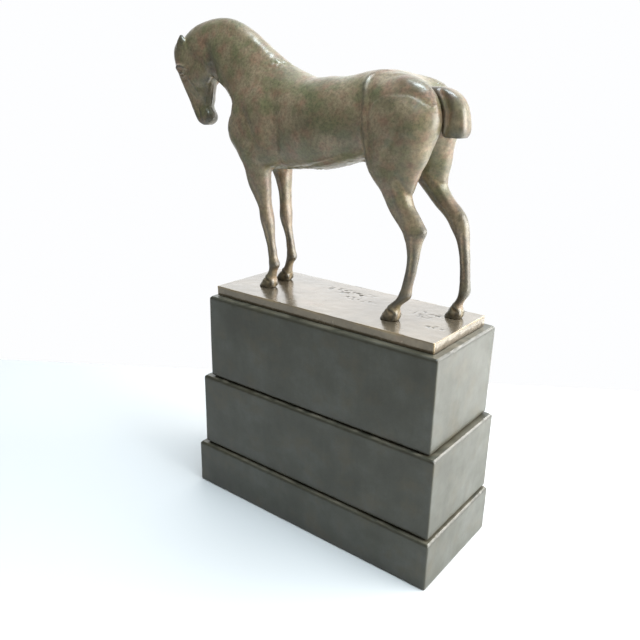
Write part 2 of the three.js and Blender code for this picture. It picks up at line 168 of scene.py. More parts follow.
# ---- the sculpting kit ----
def spline(values, count):
    """Natural cubic spline through rows of values, at evenly spaced places along the rows."""
    knots = np.concatenate([[0.0], np.cumsum(np.linalg.norm(np.diff(values[:, :4], axis=0), axis=1))])
    step = np.diff(knots)
    system = np.eye(len(knots))
    right = np.zeros_like(values)
    for i in range(1, len(knots) - 1):
        system[i, i - 1 : i + 2] = step[i - 1], 2 * (step[i - 1] + step[i]), step[i]
        right[i] = 6 * ((values[i + 1] - values[i]) / step[i] - (values[i] - values[i - 1]) / step[i - 1])
    bend = np.linalg.solve(system, right)
    at = np.linspace(0, knots[-1], count)
    i = np.clip(np.searchsorted(knots, at, side="right") - 1, 0, len(step) - 1)
    before, after, width = (at - knots[i])[:, None], (knots[i + 1] - at)[:, None], step[i][:, None]
    curve = (bend[i] * after**3 + bend[i + 1] * before**3) / (6 * width)
    start = (values[i] / width - bend[i] * width / 6) * after
    end = (values[i + 1] / width - bend[i + 1] * width / 6) * before
    return curve + start + end


class Loft:
    """A limb drawn by slices: upper or front edge (x, z), lower or rear edge (x, z), offset, half width."""

    SLICES = 160

    def __init__(self, stations, side=1, blend=3.0, squareness=2.2, taper=0.0):
        rows = np.array(stations, float)
        rows[:, 4] *= side
        self.rows = spline(rows, self.SLICES)
        self.blend, self.squareness, self.taper = blend, squareness, taper
        x, z, out, half = self.rows[:, 0:3:2], self.rows[:, 1:4:2], self.rows[:, 4], self.rows[:, 5]
        girth = half * (1 + abs(taper))
        self.low = np.array([x.min(), (out - girth).min(), z.min()])
        self.high = np.array([x.max(), (out + girth).max(), z.max()])

    def distance(self, xs, ys, zs):
        front, rear, out, half = self.rows[:, 0:2], self.rows[:, 2:4], self.rows[:, 4], self.rows[:, 5]
        middle = (front + rear) / 2
        reach = np.linalg.norm(rear - front, axis=1) / 2
        across = (rear - front) / (2 * reach[:, None])
        along = np.stack([-across[:, 1], across[:, 0]], 1)
        along *= np.sign((along * np.gradient(middle, axis=0)).sum(1))[:, None]
        points = np.stack(np.meshgrid(xs, zs, indexing="ij"), -1).reshape(-1, 2)
        u = points @ across.T - (middle * across).sum(1)
        q = points @ along.T - (middle * along).sum(1)
        nearest = (q**2 + np.maximum(np.abs(u) - reach, 0) ** 2).argmin(1)
        row = np.arange(len(points))
        second = np.clip(nearest + np.where(q[row, nearest] > 0, 1, -1), 0, len(middle) - 1)
        gap = q[row, nearest] - q[row, second]
        share = np.clip(q[row, nearest] / np.where(np.abs(gap) > 1e-9, gap, 1), 0, 1)
        share[second == nearest] = 0
        flat = (len(xs), 1, len(zs))

        def blended(values):
            return (values[nearest] * (1 - share) + values[second] * share).reshape(flat)

        here = (u[row, nearest] * (1 - share) + u[row, second] * share).reshape(flat)
        depth, width = blended(reach), blended(half)
        beyond = np.where(second == nearest, np.abs(q[row, nearest]), 0).reshape(flat)
        width = width * np.clip(1 + self.taper * here / depth, 0.25, 2)
        there = ys[None, :, None] - blended(out)
        n = self.squareness
        size = np.maximum(((np.abs(here) / depth) ** n + (np.abs(there) / width) ** n) ** (1 / n), 1e-3)
        level = np.sqrt(here**2 + there**2) * (1 - 1 / size)
        slope = np.sqrt(sum(g**2 for g in np.gradient(level, xs[1] - xs[0])))
        level /= np.clip(slope, 0.5, 3.0)
        return np.where(beyond > 0, np.hypot(np.maximum(level, 0), beyond), level)


class Muscle:
    """An ellipsoid, tilted in the side view by degrees."""

    def __init__(self, centre, radii, tilt=0.0, blend=3.0):
        self.centre, self.radii, self.blend = np.array(centre, float), np.array(radii, float), blend
        a = math.radians(tilt)
        self.frame = np.array([[math.cos(a), 0, math.sin(a)], [0, 1, 0], [-math.sin(a), 0, math.cos(a)]])
        size = np.abs(self.frame.T @ np.diag(self.radii)).sum(1)
        self.low, self.high = self.centre - size, self.centre + size

    def distance(self, xs, ys, zs):
        offset = [axis - c for axis, c in zip((xs, ys, zs), self.centre)]
        p = np.stack(np.meshgrid(*offset, indexing="ij"), -1) @ self.frame.T
        near = np.linalg.norm(p / self.radii, axis=-1)
        return near * (near - 1) / np.maximum(np.linalg.norm(p / self.radii**2, axis=-1), 1e-9)


class Brush:
    """Presses the surface as seen from the side. Depth cuts in, and a negative depth raises.

    span is the range of |y| that the brush works on, and side is -1, 1 or 0 for both sides of the horse.
    """

    SOFT = 1.2  # how softly the brush stops at the ends of its span

    def __init__(self, points, width, depth, span, side=0):
        self.points, self.width, self.depth = np.array(points, float), width, depth
        self.span, self.side = span, side
        reach = 2.5 * width
        (x0, z0), (x1, z1) = self.points.min(0) - reach, self.points.max(0) + reach
        self.low = np.array([x0, -span[1] if side <= 0 else span[0], z0])
        self.high = np.array([x1, span[1] if side >= 0 else -span[0], z1])

    def press(self, field, xs, ys, zs):
        x, z = np.meshgrid(xs, zs, indexing="ij")
        out = np.abs(ys) if self.side == 0 else ys * self.side
        begun = np.clip((out - self.span[0]) / self.SOFT, 0, 1)
        left = np.clip((self.span[1] - out) / self.SOFT, 0, 1)
        field += self.depth * self.mark(x, z)[:, None, :] * (begun * left)[None, :, None]


class Stroke(Brush):
    """A line through points (x, z) that fades out at both ends."""

    def mark(self, x, z):
        p = np.stack([x, z], -1)
        nearest, place = np.full(x.shape, 1e9), np.zeros(x.shape)
        for i, (a, b) in enumerate(zip(self.points, self.points[1:])):
            t = np.clip(((p - a) @ (b - a)) / ((b - a) @ (b - a)), 0, 1)
            distance = np.linalg.norm(p - (a + t[..., None] * (b - a)), axis=-1)
            closer = distance < nearest
            nearest[closer], place[closer] = distance[closer], i + t[closer]
        fade = np.sin(np.pi * np.clip(place / (len(self.points) - 1), 0.04, 0.96)) ** 0.5
        return np.exp(-((nearest / self.width) ** 2)) * fade


class Swell(Brush):
    """A soft oval round a centre (x, z)."""

    def __init__(self, centre, radii, depth, span, side=0):
        super().__init__([centre], max(radii), depth, span, side)
        self.radii = radii

    def mark(self, x, z):
        u, v = (x - self.points[0, 0]) / self.radii[0], (z - self.points[0, 1]) / self.radii[1]
        return np.exp(-(u * u + v * v))


def smooth_union(a, b, k):
    h = np.clip(0.5 + 0.5 * (a - b) / k, 0, 1)
    return a * (1 - h) + b * h - k * h * (1 - h)


def window(shape, axes, margin):
    """The part of the grid that a shape can touch."""
    spans = []
    for axis, low, high in zip(axes, shape.low - margin, shape.high + margin):
        first, last = np.searchsorted(axis, low), np.searchsorted(axis, high)
        spans.append(slice(first, max(last, first)))
    return tuple(spans)


def clay(shapes, brushes, axes):
    """Distances on the grid to the smooth union of the shapes, pressed by the brushes."""
    field = np.full([len(a) for a in axes], REACH)
    step = axes[0][1] - axes[0][0]
    for shape in shapes:
        spot = window(shape, axes, shape.blend + 3 * step)
        if min(s.stop - s.start for s in spot) > 2:
            value = shape.distance(*[a[s] for a, s in zip(axes, spot)])
            field[spot] = smooth_union(field[spot], np.minimum(value, REACH), shape.blend)
    for brush in brushes:
        spot = window(brush, axes, 0)
        if min(s.stop - s.start for s in spot) > 1:
            brush.press(field[spot], *[a[s] for a, s in zip(axes, spot)])
    return field


def skin(field, axes):
    """The surface of a field, as points in millimetres and quads that face outward."""
    step = axes[0][1] - axes[0][0]
    grid = openvdb.FloatGrid(REACH)
    grid.copyFromArray(field.astype(np.float32))
    points, _, quads = grid.convertToPolygons(0.0, 0.0)
    return points * step + np.array([axis[0] for axis in axes]), quads[:, ::-1]


def ripple(points, size, seed):
    """Smooth noise from -1 to 1, with features about size millimetres wide."""
    table = np.random.default_rng(seed).uniform(-1, 1, (32, 32, 32))
    at = points / size
    cell = np.floor(at).astype(int)
    t = at - cell
    t = t * t * (3 - 2 * t)
    total = np.zeros(len(points))
    for corner in np.ndindex(2, 2, 2):
        i, j, k = ((cell + corner) % 32).T
        total += np.where(corner, t, 1 - t).prod(axis=1) * table[i, j, k]
    return total


def to_mesh(name, points, faces):
    """A mesh of points in millimetres, smooth shaded."""
    mesh = bpy.data.meshes.new(name)
    mesh.from_pydata((points * MM).tolist(), [], faces.tolist())
    mesh.shade_smooth()
    return mesh


def positions(mesh):
    points = np.empty(len(mesh.vertices) * 3)
    mesh.vertices.foreach_get("co", points)
    return points.reshape(-1, 3) / MM


def normals(mesh):
    facing = np.empty(len(mesh.vertices) * 3)
    mesh.vertex_normals.foreach_get("vector", facing)
    return facing.reshape(-1, 3)


def lift(mesh, heights):
    """Moves every point along its normal by a height in millimetres."""
    points = (positions(mesh) + normals(mesh) * heights[:, None]) * MM
    mesh.vertices.foreach_set("co", points.ravel())
    mesh.update()


def relief(mesh, radius):
    """How far each point stands above (+) or below (-) the surface smoothed over a radius."""
    points = positions(mesh)
    edges = np.empty(len(mesh.edges) * 2, int)
    mesh.edges.foreach_get("vertices", edges)
    a, b = edges.reshape(-1, 2).T
    step = np.median(np.linalg.norm(points[a] - points[b], axis=1))
    count = np.bincount(a, minlength=len(points)) + np.bincount(b, minlength=len(points))
    smooth = points.copy()
    for _ in range(round(1.5 * (radius / step) ** 2)):
        sums = [
            np.bincount(a, axis[b], len(points)) + np.bincount(b, axis[a], len(points))
            for axis in smooth.T
        ]
        smooth = np.stack(sums, 1) / np.maximum(count, 1)[:, None]
    return ((points - smooth) * normals(mesh)).sum(1)


def mark(mesh, name, values):
    """Keeps a value from 0 to 1 at every point, for the materials to read."""
    layer = mesh.attributes.new(name, "FLOAT", "POINT")
    layer.data.foreach_set("value", np.clip(values, 0, 1).astype(np.float32))


def trim(mesh, place, facing, beyond=None):
    """Cuts away what lies on a plane's far side, and closes the cut with a flat face.

    place and facing are in millimetres; beyond(x, y, z) limits the cut to part of the mesh.
    """
    def reached(face):
        return beyond is None or beyond(*(face.calc_center_median() / MM))

    shape = bmesh.new()
    shape.from_mesh(mesh)
    faces = [f for f in shape.faces if reached(f)]
    edges = {e for f in faces for e in f.edges}
    points = {v for f in faces for v in f.verts}
    place, facing = Vector(place) * MM, Vector(facing).normalized()
    geometry = [*points, *edges, *faces]
    bmesh.ops.bisect_plane(shape, geom=geometry, plane_co=place, plane_no=facing, dist=1e-7)
    doomed = [
        f for f in shape.faces
        if (f.calc_center_median() - place).dot(facing) > 0 and reached(f)
    ]
    bmesh.ops.delete(shape, geom=doomed, context="FACES")
    rim = [e for e in shape.edges if e.is_boundary]
    caps = bmesh.ops.holes_fill(shape, edges=rim, sides=0)["faces"]
    for edge in rim:
        edge.smooth = False
    bmesh.ops.triangulate(shape, faces=caps)
    shape.to_mesh(mesh)
    shape.free()


# ---- the horse's shapes ----
# Slices of each limb: upper or front edge (x, z), lower or rear edge (x, z), distance from the
# mid-plane and half width.
TORSO = [
    (-93.5, 113, -93.5, 101, 0, 8),
    (-87.3, 125, -89, 89, 0, 15.5),
    (-76, 136, -77.5, 83, 0, 19),
    (-62, 142.7, -63, 82, 0, 20),
    (-47, 144.8, -47, 82.4, 0, 20.5),
    (-32, 141.5, -32, 84, 0, 21.5),
    (-15, 141.8, -15, 85.2, 0, 22),
    (0, 142.4, 0, 89, 0, 21),
    (14, 145.2, 12, 93, 0, 19.5),
    (28, 145.9, 26, 98, 0, 19),
    (42, 143.6, 40, 104, 0, 17.5),
    (53, 138, 52, 110, 0, 13.5),
    (60, 131.4, 60, 118, 0, 7),
]
NECK = [
    (-34, 139.5, -84, 92, 0, 16),
    (-46.6, 146.2, -93, 104, 0, 16),
    (-57.8, 153.5, -95.5, 114, 0, 15),
    (-69, 160.7, -96.5, 121.5, 0, 13.5),
    (-80, 168.4, -101, 126.6, 0, 12),
    (-91.7, 174.4, -105.5, 131.4, 0, 11),
    (-104, 178, -110.5, 134.8, 0, 10.2),
    (-117, 178.4, -116, 138, 0, 9.8),
    (-130, 176.2, -122, 142, 0, 9.3),
    (-141, 172.2, -127, 147, 0, 8.8),
    (-149, 166.8, -135, 151, 0, 7.5),
]
HEAD = [
    (-152.5, 166, -137, 162, 0, 6.5),
    (-157.6, 159.5, -131, 155, 0, 8.4),
    (-158.2, 153, -125, 149, 0, 9),
    (-156, 146, -121.5, 143, 0, 9),
    (-152.8, 139, -121, 136.5, 0, 8.2),
    (-149, 132, -122, 130, 0, 7.1),
    (-145.2, 125, -123.2, 124.5, 0, 6.1),
    (-141.6, 118.5, -123.8, 119.5, 0, 5.7),
    (-138.4, 113, -120.9, 115.3, 0, 6),
    (-135.8, 109.5, -121.2, 111, 0, 5.6),
    (-131.4, 107.4, -125.8, 107.5, 0, 3.6),
]
EAR = [
    (-152, 155, -140.5, 157, 5, 2.8),
    (-151.4, 160, -140.8, 161.8, 6.1, 3),
    (-149.8, 164.2, -142.8, 165.4, 6.6, 2.3),
    (-147.6, 168, -145.4, 168.2, 6.6, 0.7),
]
TAIL = [
    (50, 136.5, 51, 128, 0, 4.6),
    (58.5, 137, 57.5, 125.5, 0, 5.6),
    (66, 136.2, 60.5, 121.5, 0, 6.2),
    (73, 132.4, 62, 118, 0, 6.4),
    (77.6, 125.8, 63, 115.5, 0, 6.6),
    (79.3, 118.6, 64, 113.5, 0, 6.6),
    (79.4, 112.6, 64.5, 111.6, 0, 6.3),
    (78, 109.9, 66, 109.8, 0, 5.2),
]
LEFT_FORE = [
    (-82, 112, -58, 112, 8, 4),
    (-84.5, 98, -54, 98, 12.3, 7.6),
    (-80.6, 88, -56.6, 88, 12.3, 7.8),
    (-77.9, 82, -58, 82, 12.2, 7.4),
    (-75, 71, -58, 71, 11.8, 6.3),
    (-72.2, 66, -58, 66, 11.6, 5.7),
    (-69, 61, -58, 61, 11.5, 5.1),
    (-66.6, 56, -57.6, 56, 11.3, 4.7),
    (-65.6, 51, -56.5, 51, 11.2, 4.7),
    (-64.7, 46, -55.4, 46, 11.1, 4.5),
    (-63.2, 41, -55, 41, 11, 4),
    (-61.8, 36, -54.6, 36, 11, 3.4),
    (-60.2, 31, -54, 31, 11, 3.1),
    (-59, 26, -53, 26, 11, 3),
    (-58.1, 20.5, -51.9, 20.5, 11, 3.2),
    (-57.9, 17.5, -50.4, 17.2, 11, 3.6),
    (-58.2, 13, -52.6, 12.6, 11, 3.2),
    (-59, 11, -53.3, 10, 11, 3.3),
    (-61, 8, -53.7, 6.5, 11, 4),
    (-64.2, 4, -53.6, 3.4, 11, 4.7),
    (-66.8, 0, -54.2, 0, 11, 5),
    (-68.8, -3, -54.4, -3, 11, 5.2),
]
RIGHT_FORE = [
    (-82, 112, -58, 112, 8, 4),
    (-86, 98, -54, 98, 12.3, 7.6),
    (-81.4, 88, -58, 88, 12.2, 7.8),
    (-76.4, 82, -59.3, 82, 12, 7),
    (-72.8, 76.6, -59.5, 76.6, 11.8, 6.4),
    (-70.4, 71.6, -59.5, 71.6, 11.6, 5.8),
    (-68.6, 66.6, -59.6, 66.6, 11.5, 5.3),
    (-67.4, 61.6, -59.4, 61.6, 11.4, 4.9),
    (-66.8, 56.6, -59.3, 56.6, 11.3, 4.6),
    (-66.6, 51.6, -58.6, 51.6, 11.2, 4.6),
    (-66.6, 46.6, -58, 46.6, 11.1, 4.4),
    (-65.1, 41.6, -58, 41.6, 11, 3.9),
    (-63, 36.6, -57.3, 36.6, 11, 3.3),
    (-61.6, 31.6, -56, 31.6, 11, 3),
    (-60.8, 26.6, -55, 26.6, 11, 3),
    (-60.4, 21.6, -53.8, 21.6, 11, 3.2),
    (-60.5, 18.4, -53, 18, 11, 3.6),
    (-61.4, 13.6, -56, 13.2, 11, 3.1),
    (-62.8, 10, -57, 9.4, 11, 3.3),
    (-65.8, 6, -57.6, 5.4, 11, 4.2),
    (-70.4, 0, -58.5, 0, 11, 4.9),
    (-72.4, -3, -58.8, -3, 11, 5.1),
]
LEFT_HIND = [
    (37, 132, 50, 132, 7, 3),
    (27, 126, 60, 127, 10, 8.6),
    (21.5, 119, 65, 120, 12, 10.6),
    (20.2, 112, 65, 113, 12.8, 10.9),
    (20, 104, 63, 104, 13, 10.5),
    (20.8, 96, 62, 97, 13.4, 9.6),
    (23, 91, 59.4, 91.5, 13.6, 8.8),
    (30.4, 81.6, 55.9, 82.4, 14, 7.2),
    (35, 76.6, 55, 77, 14.2, 6.3),
    (38, 71.4, 56.3, 72.2, 14.4, 5.6),
    (41.2, 66.2, 59.2, 67.8, 14.6, 5),
    (46.2, 60.5, 63, 61.8, 14.8, 4.6),
    (49.8, 56.5, 65.8, 57.2, 15, 4.6),
    (52.6, 51.3, 64, 51.5, 15, 4.4),
    (54.4, 45.5, 62.6, 45.5, 15, 3.9),
    (54.8, 36.6, 61.4, 36.6, 15, 3.3),
    (53.3, 26.6, 59.7, 26.6, 15, 3.1),
    (51.9, 20.5, 58.6, 19.8, 15, 3.4),
    (50.6, 17, 58.2, 16.2, 15, 3.8),
    (48, 13, 53.8, 11.8, 15, 3.3),
    (45.1, 10.2, 51.4, 8.8, 15, 3.5),
    (42.6, 7.2, 51, 5, 15, 4.2),
    (38.4, 0, 50.4, 0, 15, 4.8),
    (36.6, -3, 50.2, -3, 15, 5),
]
RIGHT_HIND = [
    (37, 132, 50, 132, 7, 3),
    (27, 126, 60, 127, 10, 8.6),
    (21.5, 119, 65, 120, 12, 10.6),
    (21.5, 112, 65, 113, 12.8, 10.9),
    (23, 104, 64.2, 105, 13, 10.5),
    (28, 96, 63.6, 98, 13.4, 9.4),
    (34, 89.5, 63, 92, 13.6, 8.4),
    (44, 81, 62, 83, 14, 7),
    (48.4, 76, 64.6, 77.6, 14.2, 6.2),
    (52.6, 71, 68.4, 72.8, 14.4, 5.6),
    (58.4, 65.6, 73, 67.6, 14.6, 5),
    (63.4, 60.8, 76.8, 61.8, 14.8, 4.7),
    (66.6, 56.6, 78, 57.6, 15, 4.6),
    (70, 51.5, 78.9, 51.6, 15, 4.3),
    (72, 46.6, 79.3, 46.6, 15, 3.8),
    (73.5, 41, 80.1, 41.6, 15, 3.4),
    (74.9, 31.6, 81.3, 31.6, 15, 3),
    (75.7, 21.6, 82.5, 21.2, 15, 3.2),
    (75.6, 17.2, 82.4, 16.4, 15, 3.7),
    (74.6, 12.8, 80, 12.2, 15, 3.2),
    (72.5, 9.2, 78.5, 8.2, 15, 3.4),
    (70, 5, 78.6, 4.2, 15, 4.4),
    (67.2, 0, 78.2, 0, 15, 4.8),
    (65.4, -3, 78, -3, 15, 5),
]
FORE_JOINT, HIND_JOINT = 77, 84  # heights where the legs are joined to the body
HIND_JOINT_FROM = 15  # the hind legs' joint cuts the body only behind this x
# A point on the neck's joint, and the way the joint faces, toward the head.
NECK_JOINT = ((-82.8, 0, 141.1), (-39.2, 0, 27.5))
HOOVES = [  # toe x, heel x, side, distance from the mid-plane
    (-66.8, -54.2, -1, 11),
    (-70.4, -58.5, 1, 11),
    (38.4, 50.4, -1, 15),
    (67.2, 78.2, 1, 15),
]


def pair(make, *place, **settings):
    """The same shape on both sides of the horse."""
    (x, y, z), *rest = place
    return [make((x, side * y, z), *rest, **settings) for side in (-1, 1)]


def horse_shapes():
    """Everything the horse's clay is built up from, apart from its tail."""
    legs = [(LEFT_FORE, -1), (RIGHT_FORE, 1), (LEFT_HIND, -1), (RIGHT_HIND, 1)]
    shapes = [
        Loft(TORSO, blend=4, squareness=2.3, taper=0.06),
        Loft(NECK, blend=7, taper=0.22),
    ]
    shapes += [Loft(rows, side, blend=5) for rows, side in legs]
    shapes += pair(Muscle, (44.5, 10.5, 118.4), (22, 11.5, 22.9), tilt=-22, blend=6)  # croup and thigh
    shapes += pair(Muscle, (-85.4, 8, 107.5), (11, 8.5, 12), blend=6)  # breast
    shapes += pair(Muscle, (-66, 13, 112), (15, 7.5, 21), tilt=-14, blend=4)  # shoulder blade
    shapes += pair(Muscle, (-57, 13, 98), (10, 7.5, 13), tilt=18, blend=4)  # upper arm
    shapes += [Muscle((7, 0, 95.2), (8, 3.4, 2.8), tilt=-17, blend=1.5)]  # sheath
    shapes += [Loft(HEAD, blend=2.2, squareness=2.6)]
    shapes += pair(Muscle, (-130.5, 5.4, 144), (12, 4.6, 10.5), blend=1.5)  # cheek
    shapes += [Loft(EAR, side, blend=1) for side in (-1, 1)]
    shapes += pair(Muscle, (-145.2, 7.7, 143), (3.6, 1.8, 1.7), tilt=6, blend=0.4)  # eye
    for _, heel, side, out in HOOVES:
        for spread in (-2.1, 2.1):
            bulb = (heel - 1.4, side * out + spread, 3.4)
            shapes += [Muscle(bulb, (2.4, 2.2, 3.2), blend=0.8)]
    return shapes


def body_brushes():
    """The flank's groove, the croup, the shoulder's muscles, the mane and the throat."""
    flank = [(27, 146), (21.8, 144.6), (18.8, 142), (18.4, 138), (20.4, 131.2), (20.9, 121.1)]
    flank += [(22.1, 110.9), (23.9, 103), (25.8, 95), (27, 89)]
    croup = [(26, 142), (36.2, 138.5), (47.2, 133.5), (57.8, 128.5), (64, 124)]
    mane = [(-142, 164.6), (-127.1, 171), (-114.7, 173.8), (-104, 173.8), (-94.9, 171.6)]
    mane += [(-86, 167.6), (-77.2, 162.9), (-67.5, 157.4), (-59, 151.6), (-48, 144)]
    return [
        # the flank
        Stroke(flank, 1.6, -0.6, (3, 30)),
        Stroke([(x + 3.8, z - 0.6) for x, z in flank], 3.2, 0.6, (5, 30)),
        Stroke([(x - 5, z) for x, z in flank[3:]], 4.5, 0.9, (8, 30)),
        # the croup and the thigh
        Stroke(croup, 5.0, 0.8, (9, 30)),
        Stroke([(x + 1.5, z + 7) for x, z in croup], 3.5, -0.35, (6, 30)),
        Stroke([(51, 123), (47.5, 115.7), (45.3, 109), (41.7, 102), (39.4, 94)], 3.4, 1.1, (12, 30)),
        Swell((57, 117), (6, 12), -0.8, (10, 30)),
        Swell((31, 112), (7, 14), -0.6, (10, 30)),
        Swell((31, 97), (8, 9), -0.6, (10, 30)),
        # the shoulder and the breast
        Stroke([(-48.9, 130), (-46.3, 119), (-45.4, 108.5), (-46.3, 98), (-49, 86)], 3.4, 1.3, (8, 30)),
        Stroke([(-60, 128), (-57.5, 114), (-57, 98)], 4.0, -0.8, (8, 30)),
        Stroke([(-81, 122), (-74, 117), (-69, 110), (-65.5, 102), (-68, 93)], 2.8, 1.3, (8, 30)),
        Stroke([(-78, 108), (-76, 98), (-74, 90)], 3.0, -0.5, (8, 30)),
        Swell((-58, 88), (5, 5), -0.8, (8, 30)),
        Swell((-81, 86), (4.5, 8), -0.6, (8, 30)),
        # the mane and the neck
        Stroke(mane, 2.2, -0.25, (2, 12)),
        Stroke([(x - 0.8, z - 4) for x, z in mane], 3.2, 0.25, (3, 14)),
        Stroke([(-108, 146), (-101, 133), (-93, 119), (-87, 108)], 3.0, 0.7, (4, 30)),
        Stroke([(-112, 156), (-98, 141), (-87, 126), (-80, 112)], 6.0, -0.7, (4, 30)),
        # the belly and the cleft under the tail
        Stroke([(-56, 83.4), (-40, 84.6), (-27, 86.8), (-10, 91), (4, 95.6)], 1.0, 0.8, (6, 16)),
        Stroke([(60.5, 138), (65, 132), (66.5, 124), (66, 114), (63, 104)], 2.0, 0.8, (0, 7)),
    ]


def head_brushes():
    """The cheek, the jaw, the eye and its brow, the nose, the nostril, the mouth and the ear."""
    cheek = (3.5, 16)
    strokes = [  # line, width, depth, span
        # the cheek and the jaw
        ([(-124, 164), (-118, 158), (-114, 151)], 3.6, 1.0, cheek),
        ([(-114, 151), (-112, 144), (-112.6, 136)], 3.4, 2.6, cheek),
        ([(-119.5, 154), (-117.4, 147), (-117, 140), (-118.4, 134)], 1.2, 0.6, cheek),
        ([(-117.5, 135), (-120.2, 126), (-121.6, 118)], 4.0, 1.2, (0, 4.8)),
        # the brow and the eyelids
        ([(-153, 145.4), (-149.5, 147), (-145, 147.4), (-140, 146)], 1.5, -1.9, cheek),
        ([(-151, 143.8), (-146, 145.3), (-139.4, 142.8)], 0.7, -0.45, cheek),
        ([(-150, 141.4), (-145, 140.4), (-139.6, 142.2)], 0.7, -0.45, cheek),
        ([(-148, 138.9), (-143, 138), (-139, 139.8)], 1.0, 0.35, cheek),
        # the face
        ([(-139, 141), (-133, 134), (-129, 127)], 1.7, -0.6, cheek),
        ([(-142, 134), (-138, 127), (-134, 120.5)], 1.9, 0.7, cheek),
        ([(-127, 131), (-125.4, 124), (-125, 118)], 1.4, -0.4, cheek),
        # the nostril
        ([(-133, 119.5), (-132.2, 116), (-130.8, 112.6)], 0.9, 0.9, (1.5, 16)),
        ([(-136.6, 119), (-135, 115), (-133, 111.4)], 1.1, -0.6, (1.5, 16)),
        ([(-130.6, 119), (-129.2, 115), (-128, 110.6)], 1.1, -0.5, (1.5, 16)),
        # the mouth, and the ear
        ([(-124.6, 116.6), (-125.6, 113), (-127.6, 108.6)], 0.6, 0.5, (0, 16)),
        ([(-147.6, 158), (-146.9, 161.5), (-146.6, 165.5)], 1.1, 0.3, (6, 12)),
    ]
    socket = Swell((-145, 142.4), (6, 2.8), 0.45, cheek)
    return [socket] + [Stroke(*stroke) for stroke in strokes]


TENDONS = [  # width, depth, the line on the left leg, the line on the right leg
    (1.6, 0.9, [(48, 88), (54, 76), (59.5, 66)], [(55, 89), (64, 77), (72, 66)]),
    (1.8, -0.5, [(43, 84), (47, 74), (52, 64)], [(50, 84), (58, 74), (66, 64)]),
    (0.9, 0.6, [(59.3, 54), (59.4, 42), (57.8, 26)], [(75.5, 54), (77.2, 40), (79.4, 24)]),
    (0.9, 0.6, [(-59.8, 46), (-57.6, 36), (-55.4, 24)], [(-61.6, 46), (-59.4, 36), (-57.4, 24)]),
    (1.4, 0.5, [(-70, 74), (-65, 66), (-62, 58)], [(-66, 76), (-64.5, 67), (-63, 59)]),
]
LEG_SWELLS = [  # radii, depth, the centre on the left leg, the centre on the right leg
    ((5, 7), -0.6, (40, 84), (47, 84)),
    ((4, 4), -0.4, (57, 55), (71, 55)),
    ((3.4, 4.4), -0.5, (-61.2, 50), (-62.8, 49)),
]


def leg_brushes():
    """The tendons and joints of the legs, and the crown of each hoof with the groove below it."""
    span = (5, 24)
    brushes = []
    for width, depth, *lines in TENDONS:
        brushes += [Stroke(line, width, depth, span, side) for line, side in zip(lines, (-1, 1))]
    for radii, depth, *centres in LEG_SWELLS:
        brushes += [Swell(centre, radii, depth, span, side) for centre, side in zip(centres, (-1, 1))]
    for toe, heel, side, _ in HOOVES:
        crown = [(toe + 5.4, 9.2), ((toe + heel) / 2 + 1.8, 7.6), (heel - 0.4, 6.2)]
        groove = [(x - 0.4, z - 1.7) for x, z in crown]
        brushes += [Stroke(crown, 0.8, -0.5, span, side), Stroke(groove, 0.7, 0.4, span, side)]
    return brushes


def tail_brushes():
    """One raised strand of hair on the tail's side, between two grooves."""
    strand = [(60.5, 134.6), (64, 131), (67.4, 124), (67.6, 116), (66, 110.4)]
    return [
        Stroke(strand, 0.9, -0.45, (3, 9)),
        Stroke([(x + 2.2, z + 0.6) for x, z in strand], 1.2, 0.7, (3, 9)),
        Stroke([(x - 2.4, z - 0.6) for x, z in strand], 1.2, 0.6, (3, 9)),
        Stroke([(66, 136), (71, 131), (73, 122), (73, 112)], 2.0, -0.2, (3, 9)),
    ]


# ---- materials ----
class Paint:
    """A node material, with short calls for the nodes this scene uses."""

    def __init__(self, name):
        self.material = bpy.data.materials.new(name)
        self.material.use_nodes = True
        self.tree = self.material.node_tree
        self.shader = self.tree.nodes["Principled BSDF"]
        self.place = self.node("ShaderNodeTexCoord").outputs["Object"]

    def node(self, kind, inputs=(), **settings):
        return add_node(self.tree, kind, inputs, **settings)

    def noise(self, size, detail=4.0, roughness=0.55, stretch=(1, 1, 1)):
        """Noise whose features are about size millimetres."""
        scaled = self.node("ShaderNodeMapping", {"Vector": self.place, "Scale": stretch})
        inputs = {"Vector": scaled.outputs[0], "Scale": 1 / (size * MM)}
        inputs |= {"Detail": detail, "Roughness": roughness}
        return self.node("ShaderNodeTexNoise", inputs).outputs["Fac"]

    def mark(self, name):
        """A value that the mesh keeps at every point, or 0 on a mesh that keeps none."""
        return self.node("ShaderNodeAttribute", attribute_name=name).outputs["Fac"]

    def ramp(self, value, stops):
        return add_ramp(self.tree, value, stops)

    def mix(self, share, a, b, how="MIX"):
        made = self.node("ShaderNodeMix", data_type="RGBA", blend_type=how)
        for socket, value in ((made.inputs[0], share), (made.inputs[6], a), (made.inputs[7], b)):
            if isinstance(value, bpy.types.NodeSocket):
                self.tree.links.new(value, socket)
            else:
                socket.default_value = (*value, 1) if isinstance(value, tuple) else value
        return made.outputs[2]

    def math(self, operation, a, b):
        return self.node("ShaderNodeMath", {0: a, 1: b}, operation=operation).outputs[0]

    def bump(self, heights):
        """heights: (value, depth in millimetres) pairs, laid over each other."""
        normal = None
        for value, depth in heights:
            inputs = {"Height": value, "Distance": depth * MM, "Strength": 1.0}
            if normal:
                inputs["Normal"] = normal
            normal = self.node("ShaderNodeBump", inputs).outputs["Normal"]
        self.set(Normal=normal)

    def set(self, **values):
        for key, value in values.items():
            socket = self.shader.inputs[key.replace("_", " ")]
            if isinstance(value, bpy.types.NodeSocket):
                self.tree.links.new(value, socket)
            else:
                socket.default_value = value


